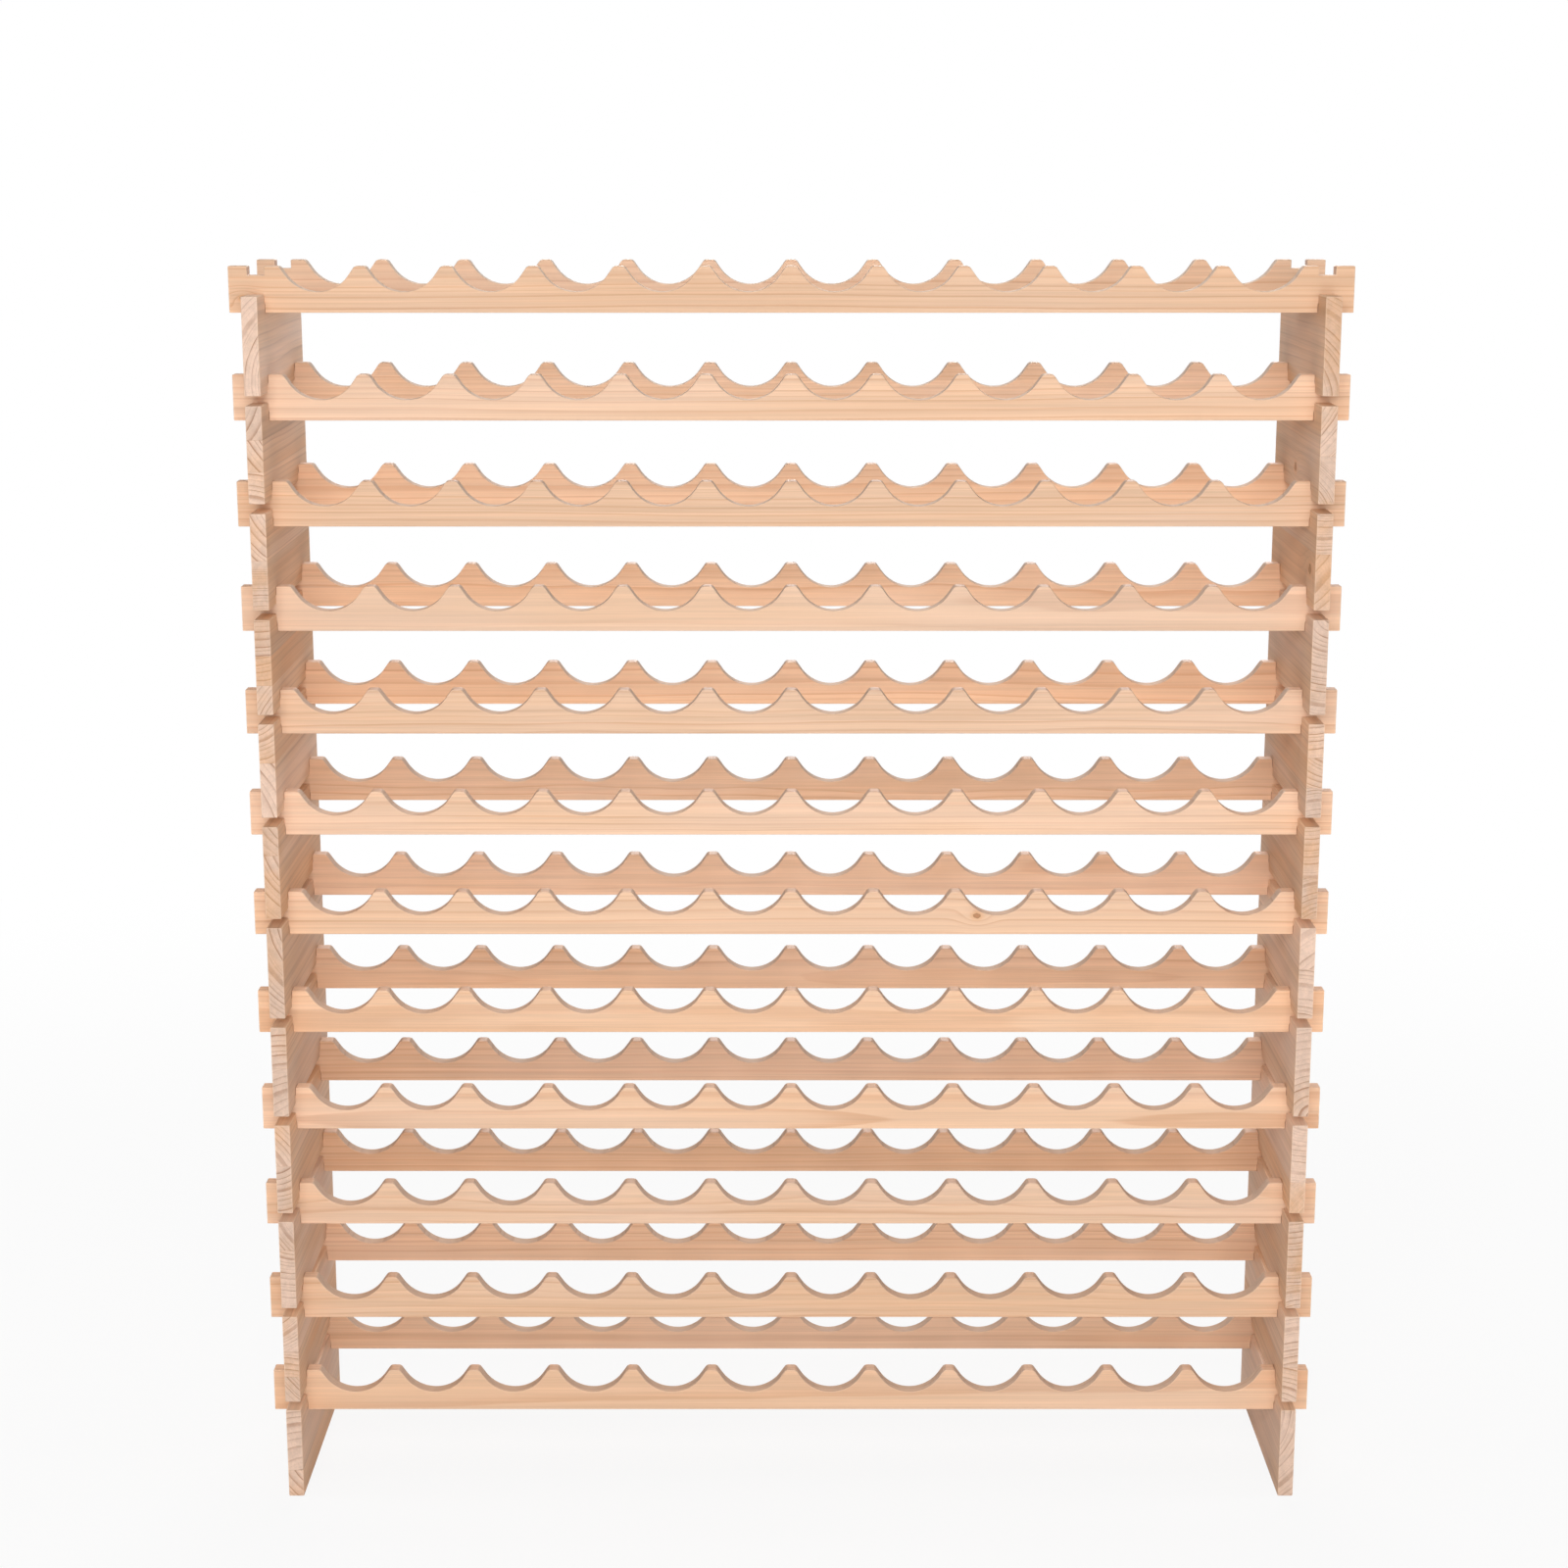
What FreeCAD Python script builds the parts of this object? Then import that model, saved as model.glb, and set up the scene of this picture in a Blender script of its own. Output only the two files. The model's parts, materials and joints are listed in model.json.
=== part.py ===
import FreeCAD, Part
import math
import os

# Knock-down pine wine rack for Bordeaux bottles, in millimetres.
#
# Each tier is a front rail and a rear rail, cut with a row of cradles that the
# bottles lie in.  Side boards stand between the tiers and cross-lap the rails:
# a notch in the rail's edge takes the board and a slot in the board's edge
# takes the rail, so the rack goes together with no fasteners.  The two boards
# under the lowest tier are taller and are the legs.
#
# +X runs along the rails, the front faces -Y and +Z is up.  The origin is on
# the floor, at the middle of the rack's footprint.

# How many
tiers = 12
bottles_per_tier = 12

# The bottle and the cradle that it lies in
bottle_diameter = 76.0
cradle_clearance = 2.0
cradle_depth = 26.5
flank_angle = math.radians(55.0)
peak_land = 11.2
peak_round = 5.0

# Rails
rail_height = 48.0
rail_thickness = 17.0
rail_ear = 20.0
rail_land = 15.5

# Side boards
board_thickness = 17.0
board_depth = 280.0
rail_setback = 45.0

# Cross-lap joints
rail_notch_depth = 9.5
board_slot_depth = 9.5
joint_clearance = 0.25

# Heights
tier_pitch = 112.0
floor_clearance = 85.0

# Worked out from the values above
cradle_radius = bottle_diameter / 2 + cradle_clearance
arc_half_width = cradle_radius * math.sin(flank_angle)
arc_rise = cradle_radius * (1 - math.cos(flank_angle))
mouth_half_width = arc_half_width + (cradle_depth - arc_rise) / math.tan(flank_angle)
bottle_pitch = 2 * mouth_half_width + peak_land
cradles_width = bottles_per_tier * bottle_pitch - peak_land
rail_notch_width = board_thickness + 2 * joint_clearance
board_slot_width = rail_thickness + 2 * joint_clearance
rail_length = cradles_width + 2 * (rail_land + rail_notch_width + rail_ear)
lap = rail_notch_depth + board_slot_depth
board_centre_x = rail_length / 2 - rail_ear - rail_notch_width / 2
front_rail_y = -board_depth / 2 + rail_setback
rear_rail_y = board_depth / 2 - rail_setback - rail_thickness


class Outline:
    """A closed outline in an upright X-Z plane, drawn edge by edge."""

    def __init__(self, x, y, z):
        self.y = y
        self.start = FreeCAD.Vector(x, y, z)
        self.here = self.start
        self.edges = []

    def line_to(self, x, z):
        """Draw a straight edge to the next corner."""
        there = FreeCAD.Vector(x, self.y, z)
        self.edges.append(Part.LineSegment(self.here, there).toShape())
        self.here = there

    def arc_to(self, through_x, through_z, x, z):
        """Draw a round edge through one point to another."""
        through = FreeCAD.Vector(through_x, self.y, through_z)
        there = FreeCAD.Vector(x, self.y, z)
        self.edges.append(Part.Arc(self.here, through, there).toShape())
        self.here = there

    def solid(self, thickness):
        """Close the outline and give it a thickness towards +Y."""
        self.line_to(self.start.x, self.start.z)
        face = Part.Face(Part.Wire(self.edges))
        return face.extrude(FreeCAD.Vector(0, thickness, 0))


def draw_notch(outline, from_x, to_x, edge_z, floor_z):
    """Step into the rail's edge at from_x and out again at to_x."""
    outline.line_to(from_x, edge_z)
    outline.line_to(from_x, floor_z)
    outline.line_to(to_x, floor_z)
    outline.line_to(to_x, edge_z)


def draw_cradle(outline, centre_x, top_z):
    """Draw one cradle from its left peak, down, and up to its right peak."""
    half_turn = flank_angle / 2
    round_run = peak_round * math.tan(half_turn)
    lip_x = mouth_half_width + round_run
    crown_x = lip_x - peak_round * math.sin(half_turn)
    crown_z = top_z - peak_round * (1 - math.cos(half_turn))
    flank_top_x = mouth_half_width - round_run * math.cos(flank_angle)
    flank_top_z = top_z - round_run * math.sin(flank_angle)
    bottom_z = top_z - cradle_depth
    arc_end_z = bottom_z + arc_rise

    outline.line_to(centre_x - lip_x, top_z)
    outline.arc_to(centre_x - crown_x, crown_z, centre_x - flank_top_x, flank_top_z)
    outline.line_to(centre_x - arc_half_width, arc_end_z)
    outline.arc_to(centre_x, bottom_z, centre_x + arc_half_width, arc_end_z)
    outline.line_to(centre_x + flank_top_x, flank_top_z)
    outline.arc_to(centre_x + crown_x, crown_z, centre_x + lip_x, top_z)


def make_rail(front_y, bottom_z):
    """Make one rail: a notch in both edges near each end, cradles between."""
    end_x = rail_length / 2
    notch_outer_x = end_x - rail_ear
    notch_inner_x = notch_outer_x - rail_notch_width
    top_z = bottom_z + rail_height
    top_notch_z = top_z - rail_notch_depth
    bottom_notch_z = bottom_z + rail_notch_depth

    outline = Outline(end_x, front_y, bottom_z)
    draw_notch(outline, notch_outer_x, notch_inner_x, bottom_z, bottom_notch_z)
    draw_notch(outline, -notch_inner_x, -notch_outer_x, bottom_z, bottom_notch_z)
    outline.line_to(-end_x, bottom_z)
    outline.line_to(-end_x, top_z)
    draw_notch(outline, -notch_outer_x, -notch_inner_x, top_z, top_notch_z)
    for number in range(bottles_per_tier):
        centre_x = (number - (bottles_per_tier - 1) / 2) * bottle_pitch
        draw_cradle(outline, centre_x, top_z)
    draw_notch(outline, notch_inner_x, notch_outer_x, top_z, top_notch_z)
    outline.line_to(end_x, top_z)
    return outline.solid(rail_thickness)


def cut_slots(board, left_x, bottom_z):
    """Cut the slots that take the front and the rear rail, upwards from bottom_z."""
    for rail_y in (front_rail_y, rear_rail_y):
        corner = FreeCAD.Vector(left_x, rail_y - joint_clearance, bottom_z)
        slot = Part.makeBox(board_thickness, board_slot_width, board_slot_depth, corner)
        board = board.cut(slot)
    return board


def make_board(centre_x, bottom_z, top_z, stands_on_rails):
    """Make one side board, slotted for the rails above it and below it."""
    left_x = centre_x - board_thickness / 2
    corner = FreeCAD.Vector(left_x, -board_depth / 2, bottom_z)
    board = Part.makeBox(board_thickness, board_depth, top_z - bottom_z, corner)
    board = cut_slots(board, left_x, top_z - board_slot_depth)
    if stands_on_rails:
        board = cut_slots(board, left_x, bottom_z)
    return board


def rail_bottom(tier):
    """Give the height of the underside of a tier's rails, tier 1 being the lowest."""
    return floor_clearance + (tier - 1) * tier_pitch


def make_rack():
    """Make every piece of the rack, by name."""
    pieces = {}
    for tier in range(1, tiers + 1):
        pieces[f"front_rail_{tier:02d}"] = make_rail(front_rail_y, rail_bottom(tier))
        pieces[f"rear_rail_{tier:02d}"] = make_rail(rear_rail_y, rail_bottom(tier))
    for side, centre_x in (("left", -board_centre_x), ("right", board_centre_x)):
        leg_top_z = rail_bottom(1) + lap
        pieces[f"{side}_leg_board"] = make_board(centre_x, 0, leg_top_z, False)
        for tier in range(1, tiers):
            board_bottom_z = rail_bottom(tier) + rail_height - lap
            board_top_z = rail_bottom(tier + 1) + lap
            name = f"{side}_side_board_{tier:02d}"
            pieces[name] = make_board(centre_x, board_bottom_z, board_top_z, True)
    return pieces


def main():
    """Write one STEP file for each piece and print its volume."""
    os.makedirs("parts", exist_ok=True)
    for name, shape in make_rack().items():
        shape.exportStep(f"parts/{name}.step")
        print(f"{name}: {shape.Volume / 1000:.1f} cm3, {len(shape.Solids)} solid")
    print(f"bottle pitch {bottle_pitch:.2f}, rail length {rail_length:.2f}")


main()
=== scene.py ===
import json
import math
import random

import bmesh
import bpy
import numpy as np
from bpy.props import FloatProperty, FloatVectorProperty, IntProperty, PointerProperty
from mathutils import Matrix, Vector


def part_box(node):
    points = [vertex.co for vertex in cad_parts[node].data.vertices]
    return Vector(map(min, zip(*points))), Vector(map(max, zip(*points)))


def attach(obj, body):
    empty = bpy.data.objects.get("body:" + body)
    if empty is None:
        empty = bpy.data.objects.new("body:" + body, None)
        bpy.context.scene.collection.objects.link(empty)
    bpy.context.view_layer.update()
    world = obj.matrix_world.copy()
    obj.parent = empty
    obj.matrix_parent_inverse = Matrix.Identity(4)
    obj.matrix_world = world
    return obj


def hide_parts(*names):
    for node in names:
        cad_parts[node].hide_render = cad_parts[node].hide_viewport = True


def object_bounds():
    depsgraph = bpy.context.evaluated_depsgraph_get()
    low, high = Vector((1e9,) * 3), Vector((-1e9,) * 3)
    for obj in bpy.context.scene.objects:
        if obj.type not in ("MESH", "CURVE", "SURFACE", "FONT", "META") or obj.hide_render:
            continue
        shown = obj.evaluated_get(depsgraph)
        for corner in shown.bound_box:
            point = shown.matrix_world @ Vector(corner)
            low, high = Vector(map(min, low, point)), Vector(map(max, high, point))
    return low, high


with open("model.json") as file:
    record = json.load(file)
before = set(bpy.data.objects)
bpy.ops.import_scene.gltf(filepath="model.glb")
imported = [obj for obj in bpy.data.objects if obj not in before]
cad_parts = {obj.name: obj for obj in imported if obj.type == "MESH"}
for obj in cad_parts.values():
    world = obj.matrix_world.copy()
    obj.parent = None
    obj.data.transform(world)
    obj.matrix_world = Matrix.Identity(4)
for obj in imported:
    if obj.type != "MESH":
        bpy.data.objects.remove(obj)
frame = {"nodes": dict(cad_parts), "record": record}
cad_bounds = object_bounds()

# A knock-down pine wine rack.  The CAD frame gives every place and every overall
# size; this file makes each rail and board again with eased edges and real pine.
# Everything is in metres: +X along the rails, the front faces -Y, +Z is up.

bl_info = {
    "name": "Pine wine rack",
    "version": (1, 0, 0),
    "blender": (4, 5, 0),
    "location": "3D View > Sidebar > Wine rack",
    "description": "Makes a knock-down pine wine rack, piece by piece",
    "category": "Object",
}

BODY = "root"

# What the frame says about the pieces
rail_low, rail_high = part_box("front_rail_01")
rear_rail_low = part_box("rear_rail_01")[0]
board_low, board_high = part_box("left_side_board_01")
notch_floor_z = next(
    mount["pos_m"][2]
    for mount in frame["record"]["mounts"]
    if mount["name"] == "top_left_front_notch"
)
top_rail = max(node for node in frame["nodes"] if node.startswith("front_rail_"))
top_rail_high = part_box(top_rail)[1]
lap = rail_high.z - board_low.z
notch_depth = top_rail_high.z - notch_floor_z


# ---- Sizes and colours that a user would change


class RackRailSizes(bpy.types.PropertyGroup):
    """The shape of the scalloped rails."""

    cradles: IntProperty(
        name="Cradles",
        description="How many bottles lie on one tier",
        default=12,
        min=1,
    )
    bottle_diameter: FloatProperty(
        name="Bottle diameter",
        description="The widest part of the bottle that a cradle holds",
        default=0.076,
        unit="LENGTH",
    )
    cradle_clearance: FloatProperty(
        name="Cradle clearance",
        description="Room between the bottle and its cradle, on the radius",
        default=0.002,
        unit="LENGTH",
    )
    cradle_depth: FloatProperty(
        name="Cradle depth",
        description="From the rail's top edge down to the bottom of a cradle",
        default=0.0265,
        unit="LENGTH",
    )
    flank_angle: FloatProperty(
        name="Flank angle",
        description="How steep a cradle's straight flanks are",
        default=math.radians(55.0),
        subtype="ANGLE",
    )
    peak_land: FloatProperty(
        name="Peak land",
        description="Width of the peak between two cradles, before its corners are rounded",
        default=0.0112,
        unit="LENGTH",
    )
    peak_round: FloatProperty(
        name="Peak round",
        description="Radius of a peak's corners",
        default=0.005,
        unit="LENGTH",
    )
    joint_clearance: FloatProperty(
        name="Joint clearance",
        description="Room on each side of a board in its notch, and of a rail in its slot",
        default=0.00025,
        unit="LENGTH",
    )
    edge_ease: FloatProperty(
        name="Edge ease",
        description="How far a rail's sawn edges are sanded back",
        default=0.0009,
        unit="LENGTH",
    )
    knotty_share: FloatProperty(
        name="Knotty rails",
        description="The share of rails that show a small knot",
        default=0.16,
        subtype="FACTOR",
    )


class RackBoardSizes(bpy.types.PropertyGroup):
    """The finish of the side boards and leg boards."""

    edge_ease: FloatProperty(
        name="Edge ease",
        description="How far a board's sawn edges are sanded back",
        default=0.0011,
        unit="LENGTH",
    )
    narrowest_strip: FloatProperty(
        name="Narrowest strip",
        description="The narrowest strip that a glued-up board is made from",
        default=0.028,
        unit="LENGTH",
    )
    one_strip_share: FloatProperty(
        name="Boards of one strip",
        description="The share of boards that are one piece of timber, not glued up",
        default=0.25,
        subtype="FACTOR",
    )
    knotty_share: FloatProperty(
        name="Knotty boards",
        description="The share of boards that show a knot",
        default=0.25,
        subtype="FACTOR",
    )


class RackPineLook(bpy.types.PropertyGroup):
    """The colours and grain of the pine."""

    rail_early: FloatVectorProperty(
        name="Rail, pale wood",
        description="Colour of a rail between its growth rings",
        default=(0.85, 0.567, 0.383),
        subtype="COLOR",
        size=3,
    )
    rail_late: FloatVectorProperty(
        name="Rail, ring",
        description="Colour of a rail's growth rings",
        default=(0.60, 0.29, 0.145),
        subtype="COLOR",
        size=3,
    )
    board_early: FloatVectorProperty(
        name="Board, pale wood",
        description="Colour of a side board between its growth rings",
        default=(0.80, 0.545, 0.37),
        subtype="COLOR",
        size=3,
    )
    board_late: FloatVectorProperty(
        name="Board, ring",
        description="Colour of a side board's growth rings",
        default=(0.40, 0.185, 0.10),
        subtype="COLOR",
        size=3,
    )
    end_early: FloatVectorProperty(
        name="End grain, pale wood",
        description="Colour of the end grain between its growth rings",
        default=(0.83, 0.60, 0.465),
        subtype="COLOR",
        size=3,
    )
    warm: FloatVectorProperty(
        name="Warm patches",
        description="Colour that the pine drifts to in warm, resin-rich patches",
        default=(0.78, 0.42, 0.20),
        subtype="COLOR",
        size=3,
    )
    rosy: FloatVectorProperty(
        name="Rosy patches",
        description="Colour that the pine drifts to in pink, freshly planed patches",
        default=(0.87, 0.63, 0.50),
        subtype="COLOR",
        size=3,
    )
    knot: FloatVectorProperty(
        name="Knot",
        description="Colour of a knot",
        default=(0.42, 0.19, 0.085),
        subtype="COLOR",
        size=3,
    )
    sawn: FloatVectorProperty(
        name="Sawn cradle",
        description="Colour that the sawn surface of a cradle drifts to",
        default=(0.60, 0.49, 0.39),
        subtype="COLOR",
        size=3,
    )
    eased: FloatVectorProperty(
        name="Eased edge",
        description="Colour that a sanded edge drifts to",
        default=(0.88, 0.66, 0.48),
        subtype="COLOR",
        size=3,
    )
    ring_spacing: FloatProperty(
        name="Ring spacing",
        description="Width of one year's growth in slow-grown pine",
        default=0.0044,
        unit="LENGTH",
    )


class RackStage(bpy.types.PropertyGroup):
    """The camera, the light and the floor."""

    camera_distance: FloatProperty(
        name="Camera distance",
        description="From the middle of the rack to the camera, along the floor",
        default=3.214,
        unit="LENGTH",
    )
    camera_height: FloatProperty(
        name="Camera height",
        description="Height of the camera over the floor",
        default=1.490,
        unit="LENGTH",
    )
    camera_side: FloatProperty(
        name="Camera side step",
        description="How far the camera stands to the right of the rack's middle",
        default=-0.0078,
        unit="LENGTH",
    )
    camera_tilt: FloatProperty(
        name="Camera tilt",
        description="How far the camera looks down",
        default=math.radians(13.0),
        subtype="ANGLE",
    )
    camera_lens: FloatProperty(
        name="Camera lens",
        description="Focal length in millimetres, on a 36 mm sensor",
        default=67.66,
    )
    camera_shift: FloatProperty(
        name="Camera shift",
        description="Upward shift of the lens, as a share of the picture",
        default=0.025,
    )
    floor_radius: FloatProperty(
        name="Floor radius",
        description="Radius of the round floor",
        default=14.0,
        unit="LENGTH",
    )
    floor_colour: FloatVectorProperty(
        name="Floor colour",
        description="Colour of the plain floor",
        default=(0.70, 0.70, 0.70),
        subtype="COLOR",
        size=3,
    )
    floor_glow: FloatProperty(
        name="Floor glow",
        description="How far the floor is lit from within under the rack, so shadows stay soft",
        default=0.88,
        subtype="FACTOR",
    )
    soft_light: FloatProperty(
        name="Soft light",
        description="Strength of the even light from all round",
        default=0.11,
    )
    key_light: FloatProperty(
        name="Key light",
        description="Power of the large light over the camera, in watts",
        default=81.5,
    )


# ---- Joining nodes


class NodeBench:
    """Adds nodes to a tree and joins their sockets."""

    def __init__(self, tree):
        self.tree = tree

    def add(self, kind, inputs=(), **settings):
        """Add a node; a socket among the inputs is joined, any other value is set."""
        node = self.tree.nodes.new(kind)
        for name, value in settings.items():
            setattr(node, name, value)
        for key, value in dict(inputs).items():
            self.feed(node.inputs[key], value)
        return node

    def feed(self, socket, value):
        """Join another socket to this one, or set its value."""
        if isinstance(value, bpy.types.NodeSocket):
            self.tree.links.new(value, socket)
        else:
            socket.default_value = value

    def math(self, operation, *values):
        """Add a Math node and give its result."""
        node = self.add("ShaderNodeMath", enumerate(values), operation=operation)
        return node.outputs[0]

    def vector(self, operation, *values):
        """Add a Vector Math node and give its vector."""
        node = self.add("ShaderNodeVectorMath", enumerate(values), operation=operation)
        return node.outputs["Vector"]

    def size_of(self, vector):
        """Give the length of a vector."""
        node = self.add("ShaderNodeVectorMath", {0: vector}, operation="LENGTH")
        return node.outputs["Value"]

    def xyz(self, x, y, z):
        """Make a vector from three numbers."""
        return self.add("ShaderNodeCombineXYZ", {0: x, 1: y, 2: z}).outputs[0]


def new_geometry_tree(name, sizes, others):
    """Start a Geometry Nodes tree; others maps an input's name to its socket type."""
    tree = bpy.data.node_groups.new(name, "GeometryNodeTree")
    tree.interface.new_socket(
        name="Geometry", in_out="OUTPUT", socket_type="NodeSocketGeometry"
    )
    kinds = dict.fromkeys(sizes, "NodeSocketFloat") | others
    kinds |= {"Place": "NodeSocketVector", "Material": "NodeSocketMaterial"}
    for input_name, kind in kinds.items():
        tree.interface.new_socket(name=input_name, in_out="INPUT", socket_type=kind)
    return tree, NodeBench(tree), tree.nodes.new("NodeGroupInput").outputs


def end_tree(bench, geometry, place, material):
    """Put the shape in its place, make it real and give it its material."""
    placed = bench.add(
        "GeometryNodeTransform", {"Geometry": geometry, "Translation": place}
    )
    real = bench.add("GeometryNodeRealizeInstances", {"Geometry": placed.outputs[0]})
    coated = bench.add(
        "GeometryNodeSetMaterial", {"Geometry": real.outputs[0], "Material": material}
    )
    bench.add("NodeGroupOutput", {"Geometry": coated.outputs[0]})


def cut_boxes(bench, solid, span_x, span_y, centre, box_size, chosen=None):
    """Cut a box out of the solid at each corner of an upright or flat rectangle."""
    corners = bench.add(
        "GeometryNodeMeshGrid",
        {"Size X": span_x, "Size Y": span_y, "Vertices X": 2, "Vertices Y": 2},
    )
    moved = bench.add(
        "GeometryNodeTransform",
        {"Geometry": corners.outputs["Mesh"], "Translation": centre},
    )
    box = bench.add("GeometryNodeMeshCube", {"Size": box_size})
    placing = {"Points": moved.outputs[0], "Instance": box.outputs["Mesh"]}
    if chosen is not None:
        placing["Selection"] = chosen
    boxes = bench.add("GeometryNodeInstanceOnPoints", placing)
    real = bench.add("GeometryNodeRealizeInstances", {"Geometry": boxes.outputs[0]})
    cut = bench.add(
        "GeometryNodeMeshBoolean", operation="DIFFERENCE", solver="EXACT"
    )
    bench.feed(cut.inputs["Mesh 1"], solid)
    bench.feed(cut.inputs["Mesh 2"], real.outputs[0])
    return cut.outputs["Mesh"]


# ---- The rail: a zigzag outline whose corners are rounded into cradles and peaks

RAIL_SIZES = (
    "Length",
    "Height",
    "Thickness",
    "Cradle Radius",
    "Cradle Depth",
    "Flank Angle",
    "Peak Land",
    "Peak Round",
    "Ear",
    "Notch Width",
    "Notch Depth",
)
CRADLE_ARC_STEPS = 24
PEAK_ARC_STEPS = 6
ROUND_ATTRIBUTE = "corner_round"
STEPS_ATTRIBUTE = "corner_steps"


def rail_corners(bench, size):
    """Place the outline's corners, and say how far and how finely each is rounded."""
    math_ = bench.math
    sine = math_("SINE", size["Flank Angle"])
    cosine = math_("COSINE", size["Flank Angle"])
    slope = math_("TANGENT", size["Flank Angle"])
    arc_half_width = math_("MULTIPLY", size["Cradle Radius"], sine)
    arc_rise = math_("MULTIPLY", size["Cradle Radius"], math_("SUBTRACT", 1.0, cosine))
    flank_rise = math_("SUBTRACT", size["Cradle Depth"], arc_rise)
    flank_run = math_("DIVIDE", flank_rise, slope)
    mouth_half = math_("ADD", arc_half_width, flank_run)
    vee_depth = math_("MULTIPLY", mouth_half, slope)
    pitch = math_("MULTIPLY_ADD", mouth_half, 2.0, size["Peak Land"])

    # Corners 0 and 1 are the left end, then come a lip, a vee and a lip for each
    # cradle, and the last two corners are the right end.
    last_cradle_corner = math_("MULTIPLY_ADD", size["Cradles"], 3.0, 1.0)
    corner_count = math_("ADD", last_cradle_corner, 3.0)
    index = bench.add("GeometryNodeInputIndex").outputs[0]
    step = math_("SUBTRACT", index, 2.0)
    cradle = math_("FLOOR", math_("DIVIDE", step, 3.0))
    corner = math_("FLOORED_MODULO", step, 3.0)
    is_vee = math_("COMPARE", corner, 1.0, 0.1)
    past_left = math_("GREATER_THAN", index, 1.5)
    past_right = math_("GREATER_THAN", index, math_("ADD", last_cradle_corner, 0.5))
    is_cradle = math_("SUBTRACT", past_left, past_right)

    # Along the rail
    middle_cradle = math_("MULTIPLY", math_("SUBTRACT", size["Cradles"], 1.0), 0.5)
    cradle_x = math_("MULTIPLY", math_("SUBTRACT", cradle, middle_cradle), pitch)
    from_vee = math_("SUBTRACT", corner, 1.0)
    corner_x = math_("MULTIPLY_ADD", from_vee, mouth_half, cradle_x)
    half_length = math_("MULTIPLY", size["Length"], 0.5)
    end_sign = math_("MULTIPLY_ADD", past_right, 2.0, -1.0)
    end_x = math_("MULTIPLY", half_length, end_sign)
    end_part = math_("MULTIPLY", end_x, math_("SUBTRACT", 1.0, is_cradle))
    outline_x = math_("MULTIPLY_ADD", corner_x, is_cradle, end_part)

    # Up the rail
    is_first = math_("LESS_THAN", index, 0.5)
    is_last = math_("GREATER_THAN", index, math_("SUBTRACT", corner_count, 1.5))
    end_drop = math_("MULTIPLY", size["Height"], math_("ADD", is_first, is_last))
    is_cradle_vee = math_("MULTIPLY", is_vee, is_cradle)
    drop = math_("MULTIPLY_ADD", vee_depth, is_cradle_vee, end_drop)
    outline_y = math_("SUBTRACT", size["Height"], drop)

    # Lips take the peak's radius and vees the cradle's
    more_round = math_("SUBTRACT", size["Cradle Radius"], size["Peak Round"])
    lip_or_vee = math_("MULTIPLY_ADD", is_vee, more_round, size["Peak Round"])
    corner_round = math_("MULTIPLY", lip_or_vee, is_cradle)
    more_steps = CRADLE_ARC_STEPS - PEAK_ARC_STEPS
    corner_steps = math_("MULTIPLY_ADD", is_vee, more_steps, PEAK_ARC_STEPS)
    place = bench.xyz(outline_x, outline_y, 0.0)
    return corner_count, place, corner_round, corner_steps


def rounded_face(bench, corner_count, place, corner_round, corner_steps):
    """Draw a closed outline through the corners, round them, and fill it."""
    line = bench.add("GeometryNodeMeshLine", {"Count": corner_count})
    outline = bench.add(
        "GeometryNodeSetPosition", {"Geometry": line.outputs["Mesh"], "Position": place}
    )
    stored = []
    for name, value in ((ROUND_ATTRIBUTE, corner_round), (STEPS_ATTRIBUTE, corner_steps)):
        outline = bench.add(
            "GeometryNodeStoreNamedAttribute",
            {"Geometry": outline.outputs[0], "Name": name, "Value": value},
        )
        stored.append(bench.add("GeometryNodeInputNamedAttribute", {"Name": name}))
    path = bench.add("GeometryNodeMeshToCurve", {"Mesh": outline.outputs[0]})
    closed = bench.add(
        "GeometryNodeSetSplineCyclic", {"Geometry": path.outputs[0], "Cyclic": True}
    )
    stored_round, stored_steps = stored
    rounded = bench.add(
        "GeometryNodeFilletCurve",
        {
            "Curve": closed.outputs[0],
            "Radius": stored_round.outputs[0],
            "Count": stored_steps.outputs[0],
        },
        mode="POLY",
    )
    face = bench.add(
        "GeometryNodeFillCurve", {"Curve": rounded.outputs[0]}, mode="NGONS"
    )
    return face.outputs[0]


def thicken(bench, face, thickness):
    """Give a flat face a thickness, and close it into a solid."""
    raised = bench.add(
        "GeometryNodeExtrudeMesh",
        {"Mesh": face, "Offset Scale": thickness, "Individual": False},
        mode="FACES",
    )
    underside = bench.add("GeometryNodeFlipFaces", {"Mesh": face})
    shell = bench.add("GeometryNodeJoinGeometry")
    bench.feed(shell.inputs[0], raised.outputs["Mesh"])
    bench.feed(shell.inputs[0], underside.outputs[0])
    solid = bench.add("GeometryNodeMergeByDistance", {"Geometry": shell.outputs[0]})
    return solid.outputs[0]


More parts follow.
